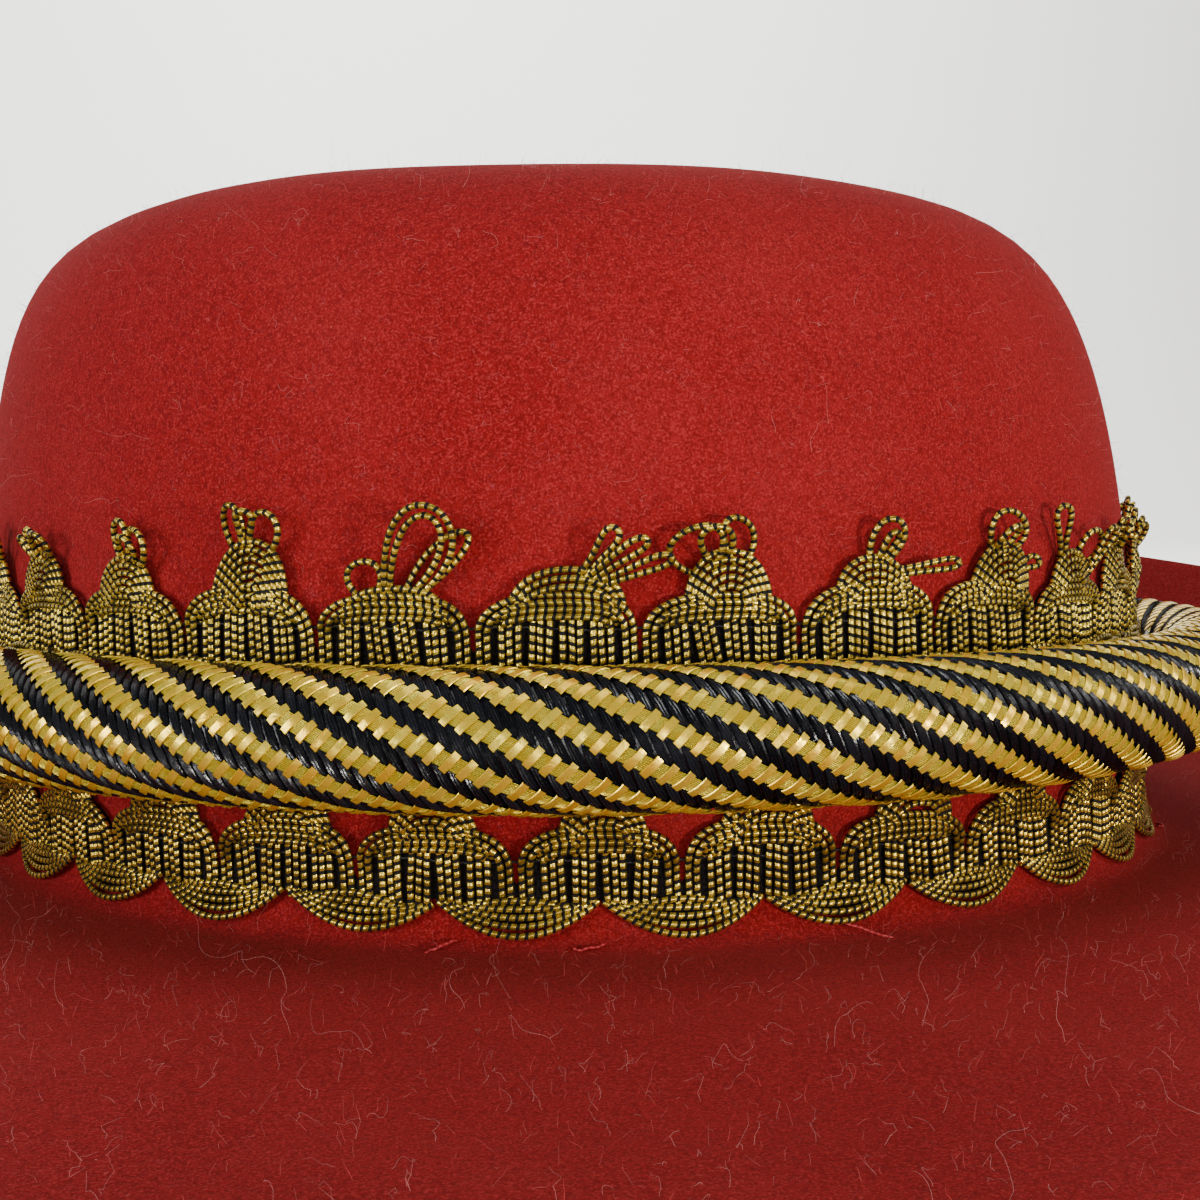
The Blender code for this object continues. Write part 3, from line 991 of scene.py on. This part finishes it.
def gold_strip():
    """Flat metallic strip: yellow gold, finely crinkled, each float a little lighter or darker at
    random, partly its own tone and partly painted light for floats lying higher or lower.
    """
    material, tree = new_material("flat_gold_strip")
    crinkle = grain(tree, 900, 2, 0.5)
    deep, pale, copper = (1.0, 0.63, 0.035, 1), (1.0, 0.78, 0.080, 1), (0.84, 0.44, 0.02, 1)
    # Each float's random shade: partly the strip's own tone, partly painted light for floats that
    # lie higher or lower.
    colour = blended(tree, attribute(tree, "shade"), deep, pale)
    colour = blended(tree, eased(tree, crinkle, 0.35, 0.7, 0.0, 0.30), colour, copper)
    dress(tree, Base_Color=colour, Metallic=0.62)
    dress(tree, Roughness=eased(tree, crinkle, 0.3, 0.7, 0.22, 0.36))
    dress(tree, Normal=bumped(tree, crinkle, 0.0002, 0.45))
    return material


def gold_lurex():
    """Bundled gold lurex: yellow metal with fine ribs along its way, darker where they dip: painted
    shade in the grooves between them.
    """
    material, tree = new_material("gold_lurex")
    across = attribute(tree, "across")
    ribs = calc(tree, "SINE", calc(tree, "MULTIPLY", across, LUREX_RIBS * math.pi))
    glint = grain(tree, 700, 2, 0.6)
    deep, pale, painted_groove_shade = (0.90, 0.63, 0.018, 1), (1.0, 0.84, 0.065, 1), (0.20, 0.12, 0.02, 1)
    colour = blended(tree, eased(tree, glint, 0.35, 0.65), deep, pale)
    # Darker where the ribs dip: painted shade in the grooves between them.
    colour = blended(tree, eased(tree, ribs, -0.4, -1.0, 0.0, 0.55), colour, painted_groove_shade)
    dress(tree, Base_Color=colour, Metallic=0.5)
    dress(tree, Roughness=eased(tree, glint, 0.3, 0.7, 0.40, 0.22))
    height = calc(tree, "ADD", ribs, calc(tree, "MULTIPLY", glint, 1.5))
    dress(tree, Normal=bumped(tree, height, 0.00006))
    return material


def glossy_thread():
    """Smooth black artificial silk with a bluish shine."""
    material, tree = new_material("glossy_black_thread")
    hairs = grain(tree, 3000, 2)
    dark, light = (0.0055, 0.0058, 0.0075, 1), (0.016, 0.017, 0.022, 1)
    dress(tree, Base_Color=blended(tree, attribute(tree, "shade"), dark, light))
    dress(tree, Roughness=eased(tree, hairs, 0.3, 0.7, 0.14, 0.30), Specular_IOR_Level=0.42)
    dress(tree, Normal=bumped(tree, hairs, 0.00006, 0.5))
    return material


def lay_floats(family, crossing_length, slope, material):
    """All floats of one family, as a plain mesh, grown on a point for each float."""
    half = FLOAT_CROSSINGS * crossing_length / 2 + FAMILIES[family].tail
    shape = float_shape(family, half, slope)
    centre, outward, lengthways = float_places(family)
    mesh = new_mesh("float_points", centre.tolist(), [])
    for label, values in (("outward", outward), ("lengthways", lengthways)):
        data = mesh.attributes.new(label, "FLOAT_VECTOR", "POINT").data
        data.foreach_set("vector", values.astype(np.float32).ravel())
    points = add_object("float_points", mesh)
    chosen = dict(float=shape, unevenness=FLOAT_SWAY, seed=2, material=material)
    made = grow(points, float_lay, f"cord_{family}_floats", **chosen)
    bpy.data.objects.remove(shape)
    return made


def lurex_bands():
    """The bands that run along the gold stripes, one after the other round the ring."""
    on_cord = np.linspace(HIDDEN_BELOW, HIDDEN_ABOVE, LUREX_ROWS)
    across = np.array([-1, -0.6, 0, 0.6, 1])
    drop = LUREX_SINK + LUREX_ROUNDING * across**2
    shift = LUREX_HALF * across / (CROSSINGS_A_STRIPE * STRIPES_ROUND_RING)
    turn = np.repeat(on_cord[:, None], len(across), axis=1)
    points = []
    faces = []
    for stripe in range(STRIPES_ROUND_RING):
        first = len(points)
        middle = stripe + 0.5 / CROSSINGS_A_STRIPE - STRIPES_ROUND_CORD * on_cord
        on_ring = (middle / STRIPES_ROUND_RING)[:, None] + shift
        centre, _, outward, _ = skin_place(on_ring, turn)
        band = centre + (CORD_RADIUS - drop)[None, :, None] * outward
        points.extend(band.reshape(-1, 3).tolist())
        for row in range(LUREX_ROWS - 1):
            for i in range(len(across) - 1):
                here = first + row * len(across) + i
                there = here + len(across)
                faces.append((here, here + 1, there + 1, there))
    mesh = new_mesh("cord_gold_lurex", points, faces)
    mesh.shade_smooth()
    ways = np.tile(across, LUREX_ROWS * STRIPES_ROUND_RING)
    mesh.attributes.new("across", "FLOAT", "POINT").data.foreach_set("value", ways)
    mesh.materials.append(gold_lurex())
    return add_object("cord_gold_lurex", mesh)


float_lay = float_tree()
strip = gold_strip()
silk = glossy_thread()
middle_line = cord_frame(np.linspace(0, 1, FILLING_STATIONS, endpoint=False))[0]
filling_radius = CORD_RADIUS - FILLING_SINK
filling = strands_along(
    [(middle_line, 0.0)], "cord_filling", filling_radius, FILLING_SIDES, silk, closed=True
)
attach(filling, "root")
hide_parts("braided_cord")

# Between two crossings a strip runs as far as its crossing family is apart, over the sine of the
# angle that they cross at.
gold_apart, gold_slope = family_way(GOLD_ROUND_RING)
black_apart, black_slope = family_way(BLACK_ROUND_RING)
crossing_sine = math.sin(gold_slope + black_slope)
for piece in (
    lay_floats("gold", black_apart / crossing_sine, gold_slope, strip),
    lay_floats("black", gold_apart / crossing_sine, black_slope, silk),
    lurex_bands(),
):
    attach(piece, "root")


# The sewing stitches: short stitches of red thread that hold the lower gimp to the felt. They show
# here and there just under its scallops.
STITCH_RADIUS = 0.00016
STITCH_OFF = 0.0005
STITCH_RISE = 0.0007
STITCH_UNEVEN = 0.00006
STITCHES = 14
# The stitches in front: place round the row in repeats, length, and how far the end lies lower.
FRONT_STITCHES = ((14.56, 0.0028, 0.0005), (15.42, 0.0033, 0.0002), (17.12, 0.0064, -0.0011))
BACK_FROM = 22
BACK_TO = 40


def stitch_routes():
    """Short low arcs along the foot of the lower gimp, unevenly spaced."""
    draw = np.random.default_rng(3)
    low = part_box("lower_gimp_braid")[0].z
    chosen = list(FRONT_STITCHES)
    for place in np.linspace(BACK_FROM, BACK_TO, STITCHES):
        chosen.append((place + draw.uniform(-0.4, 0.4), draw.uniform(0.0022, 0.0046), 0.0))
    t = np.linspace(-1, 1, 9)
    for place, length, fall in chosen:
        start = (GIMP_TURNS["lower_gimp_braid"] + place) / GIMP_REPEATS
        off = STITCH_OFF + STITCH_RISE * (1 - t * t)
        height = fall * t - STITCH_OFF + draw.normal(0, STITCH_UNEVEN, 9)
        yield on_crown(np.column_stack([t * length / 2, height, off]), low, start), 0.0


red_thread = twisted_thread(
    "red_sewing_thread", (0.34, 0.010, 0.016, 1), (0.56, 0.035, 0.040, 1), 0.42, slanting=False
)
stitches = strands_along(stitch_routes(), "red_sewing_stitches", STITCH_RADIUS, 6, red_thread)
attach(stitches, "root")


# The nap and the stray fibres: wool fibres that stand out of the felt all over it, most of them
# short, and longer pale ones that have worked loose and curl on its surface.
Fibres = namedtuple("Fibres", "density length radius tilt curl curls_a_metre points seed")
NAP = Fibres(62000, 0.0013, 0.000022, 1.35, 0.0011, 1400.0, 4, 7)
STRAYS = Fibres(19000, 0.0017, 0.000011, 1.5, 0.0058, 900.0, 8, 21)
LONG_STRAYS = Fibres(1300, 0.0056, 0.000012, 1.5, 0.0120, 270.0, 24, 4)
SHORTEST = 0.35
LONGEST = 1.5
TAPER = 0.6
# How many more strays lie on the brim, which starts at this share of the head's oval.
MORE_ON_BRIM = 1.8
BRIM_FROM = 1.2
# The braids cover the felt up to this share of the head's oval, between these heights.
BRAIDS_OUT = 1.09
BRAIDS_FROM = 0.0032
BRAIDS_TO = 0.044


def hair_tree():
    """Scatters curling hairs on a surface, as dense as its nap attribute says."""
    sizes = dict.fromkeys(["Density", "Length", "Radius", "Tilt", "Curl", "Curls A Metre"], "Float")
    sizes.update({"Points": "Int", "Seed": "Int", "Material": "Material"})
    tree, given = new_geometry_tree("hairs", **sizes)
    density = calc(tree, "MULTIPLY", given["Density"], named(tree, "nap"))
    inputs = {"Mesh": given["Geometry"], "Density": density, "Seed": given["Seed"]}
    points = put(tree, "GeometryNodeDistributePointsOnFaces", inputs, "Points")
    least = calc(tree, "MULTIPLY", given["Tilt"], -1.0)
    least = put(tree, "ShaderNodeCombineXYZ", {0: least})
    most = put(tree, "ShaderNodeCombineXYZ", {0: given["Tilt"]})
    lean = random_vector(tree, least, most, given["Seed"])
    spin = random_vector(tree, (0, 0, 0), (0, 0, 2 * math.pi), given["Seed"])
    turned = turned_by(tree, points.node.outputs["Rotation"], spin)
    turned = turned_by(tree, turned, lean)
    straight = put(tree, "GeometryNodeCurvePrimitiveLine", {"End": (0, 0, 1)})
    inputs = {"Curve": straight, "Count": given["Points"]}
    straight = put(tree, "GeometryNodeResampleCurve", inputs)
    shorter = calc(tree, "MULTIPLY", given["Length"], SHORTEST)
    longer = calc(tree, "MULTIPLY", given["Length"], LONGEST)
    inputs = {2: shorter, 3: longer, "Seed": given["Seed"]}
    length = put(tree, "FunctionNodeRandomValue", inputs, output=1, data_type="FLOAT")
    inputs = {"Points": points, "Instance": straight, "Rotation": turned, "Scale": length}
    hairs = put(tree, "GeometryNodeInstanceOnPoints", inputs)
    hairs = put(tree, "GeometryNodeRealizeInstances", {"Geometry": hairs})
    share = put(tree, "GeometryNodeSplineParameter", output="Factor")
    place = put(tree, "GeometryNodeInputPosition")
    inputs = {"Vector": place, "Scale": given["Curls A Metre"], "Detail": 1.0}
    swirl = put(tree, "ShaderNodeTexNoise", inputs, "Color")
    inputs = {0: swirl, 1: (0.5, 0.5, 0.5)}
    centred = put(tree, "ShaderNodeVectorMath", inputs, operation="SUBTRACT")
    inputs = {0: centred, "Scale": calc(tree, "MULTIPLY", given["Curl"], share)}
    shift = put(tree, "ShaderNodeVectorMath", inputs, operation="SCALE")
    hairs = put(tree, "GeometryNodeSetPosition", {"Geometry": hairs, "Offset": shift})
    taper = calc(tree, "SUBTRACT", 1.0, calc(tree, "MULTIPLY", share, TAPER))
    circle = {"Resolution": 3, "Radius": given["Radius"]}
    profile = put(tree, "GeometryNodeCurvePrimitiveCircle", circle)
    inputs = {"Curve": hairs, "Profile Curve": profile, "Scale": taper}
    hairs = put(tree, "GeometryNodeCurveToMesh", inputs)
    hairs = put(tree, "GeometryNodeSetShadeSmooth", {"Geometry": hairs})
    return end_tree(tree, hairs, given)


def wool_fibre(name, colour):
    """A single wool fibre, darker in places."""
    material, tree = new_material(name)
    tone = eased(tree, grain(tree, 300, 1), 0.35, 0.65)
    darker = tuple(0.55 * part for part in colour[:3]) + (1,)
    dress(tree, Base_Color=blended(tree, tone, darker, colour))
    dress(tree, Roughness=0.6, Sheen_Weight=0.3)
    return material


def give_nap(felt):
    """Marks how densely fibres stand on the felt: on its outside, but not under the braids."""
    count = len(felt.data.vertices)
    places = np.empty(count * 3, np.float32)
    felt.data.vertices.foreach_get("co", places)
    ways = np.empty(count * 3, np.float32)
    felt.data.vertex_normals.foreach_get("vector", ways)
    x, y, z = places.reshape(-1, 3).T
    out_x, out_y, out_z = ways.reshape(-1, 3).T
    facing = (x * out_x + y * out_y) / HEAD_HALF_WIDTH + out_z
    near_wall = np.hypot(x / HEAD_HALF_WIDTH, y / HEAD_HALF_LENGTH) < BRAIDS_OUT
    under_braid = near_wall & (z > BRAIDS_FROM) & (z < BRAIDS_TO)
    nap = ((facing > -0.2) & ~under_braid).astype(np.float32)
    felt.data.attributes.new("nap", "FLOAT", "POINT").data.foreach_set("value", nap)


def fibre_ground(more_on_brim):
    """A copy of the felt for fibres to stand on, this much denser on the brim."""
    ground = add_object("fibre_ground", hat.data.copy())
    for vertex, mark in zip(ground.data.vertices, ground.data.attributes["nap"].data):
        x, y, _ = vertex.co
        if math.hypot(x / HEAD_HALF_WIDTH, y / HEAD_HALF_LENGTH) > BRIM_FROM:
            mark.value *= more_on_brim
    return ground


give_nap(hat)
hairs = hair_tree()
short_wool = wool_fibre("short_red_fibre", (0.62, 0.045, 0.042, 1))
pale_wool = wool_fibre("pale_loose_fibre", (0.84, 0.36, 0.33, 1))
for name, fibres, more_on_brim, wool in (
    ("felt_nap", NAP, 1.0, short_wool),
    ("felt_stray_fibres", STRAYS, MORE_ON_BRIM, pale_wool),
    ("felt_long_fibres", LONG_STRAYS, MORE_ON_BRIM, pale_wool),
):
    piece = grow(fibre_ground(more_on_brim), hairs, name, **fibres._asdict(), material=wool)
    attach(piece, "root")


# The studio: a plain pale table that curves up into a plain wall far behind, and no props.
SWEEP_HALF_WIDTH = 3.0
SWEEP_FRONT = -3.0
SWEEP_BACK = 1.6
SWEEP_RADIUS = 0.8
SWEEP_TOP = 2.6


def pale_sweep():
    side = [(SWEEP_FRONT, 0.0)]
    for turn in np.linspace(0, math.pi / 2, 24):
        back = SWEEP_BACK + SWEEP_RADIUS * math.sin(turn)
        side.append((back, SWEEP_RADIUS * (1 - math.cos(turn))))
    side.append((SWEEP_BACK + SWEEP_RADIUS, SWEEP_TOP))
    points = [(x, y, z) for y, z in side for x in (-SWEEP_HALF_WIDTH, SWEEP_HALF_WIDTH)]
    faces = [(2 * i, 2 * i + 1, 2 * i + 3, 2 * i + 2) for i in range(len(side) - 1)]
    mesh = new_mesh("pale_sweep", points, faces)
    mesh.shade_smooth()
    material, tree = new_material("pale_paper")
    colour = blended(tree, grain(tree, 3, 2), (0.82, 0.82, 0.81, 1), (0.87, 0.87, 0.86, 1))
    dress(tree, Base_Color=colour, Roughness=0.8)
    mesh.materials.append(material)
    return add_object("pale_sweep", mesh)


pale_sweep()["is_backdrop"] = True


# The light: a broad soft overhead panel, a small key from the right and front at about the braids'
# height, which throws the loops' shadows sideways, weaker panels at the front, the right and the
# left, a white card on the table in front of the brim, which shines in the lower half of the cord,
# one that lights the wall, and a pale room all round.
Panel = namedtuple("Panel", "name place aim size power colour")
PANELS = [
    Panel("overhead", (0.05, 0.05, 1.3), (0, 0, 0.05), 1.0, 5.0, (1.0, 0.98, 0.95)),
    Panel("key", (0.50, -0.78, 0.02), (0, -0.08, 0.045), 0.12, 5.8, (1.0, 0.96, 0.90)),
    Panel("front", (-0.12, -1.05, 0.07), (0, -0.05, 0.04), 0.30, 2.4, (1.0, 0.98, 0.96)),
    Panel("right", (0.95, -0.30, 0.40), (0.05, -0.05, 0.02), 0.4, 2.8, (1.0, 0.97, 0.93)),
    Panel("left", (-0.95, -0.50, 0.20), (0, -0.05, 0.05), 0.5, 8.0, (0.97, 0.98, 1.0)),
    Panel("bounce", (0.04, -0.28, 0.003), (0.04, -0.28, 1.0), 0.16, 0.22, (1.0, 0.99, 0.97)),
    Panel("backdrop", (0.0, 0.7, 1.5), (0, 2.4, 0.9), 1.2, 118.0, (1.0, 0.985, 0.955)),
]
for panel in PANELS:
    lamp = bpy.data.lights.new(panel.name, "AREA")
    lamp.size = panel.size
    lamp.energy = panel.power
    lamp.color = panel.colour
    holder = add_object(panel.name, lamp)
    holder.visible_camera = False
    aim = Vector(panel.aim) - Vector(panel.place)
    turned = aim.to_track_quat("-Z", "Y").to_matrix().to_4x4()
    holder.matrix_world = Matrix.Translation(panel.place) @ turned
room = bpy.data.worlds.new("pale_room")
room.use_nodes = True
room.node_tree.nodes["Background"].inputs["Color"].default_value = (0.92, 0.94, 0.97, 1)
room.node_tree.nodes["Background"].inputs["Strength"].default_value = 0.20
bpy.context.scene.world = room


# The camera: close in front of the brim, a little to the left, looking slightly right and down
# along the braids, as the photograph does.
CAMERA_PLACE = (-0.0350, -0.2879, 0.0504)
CAMERA_HEADING = 0.139
CAMERA_PITCH = -0.054
CAMERA_ROLL = -0.008
CAMERA_LENS = 54.27

lens = bpy.data.cameras.new("camera")
lens.lens = CAMERA_LENS
lens.sensor_width = 36
lens.clip_start = 0.01
camera = add_object("camera", lens)
level = Vector((math.cos(CAMERA_HEADING), -math.sin(CAMERA_HEADING), 0))
flat = Vector((math.sin(CAMERA_HEADING), math.cos(CAMERA_HEADING), 0))
forward = math.cos(CAMERA_PITCH) * flat + Vector((0, 0, math.sin(CAMERA_PITCH)))
right = math.cos(CAMERA_ROLL) * level + math.sin(CAMERA_ROLL) * level.cross(forward)
turned = Matrix((right, right.cross(forward), -forward)).transposed().to_4x4()
camera.matrix_world = Matrix.Translation(CAMERA_PLACE) @ turned
bpy.context.scene.camera = camera

boxes = {"cad": cad_box, "visual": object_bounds()}
{name: [list(corner) for corner in box] for name, box in boxes.items()}
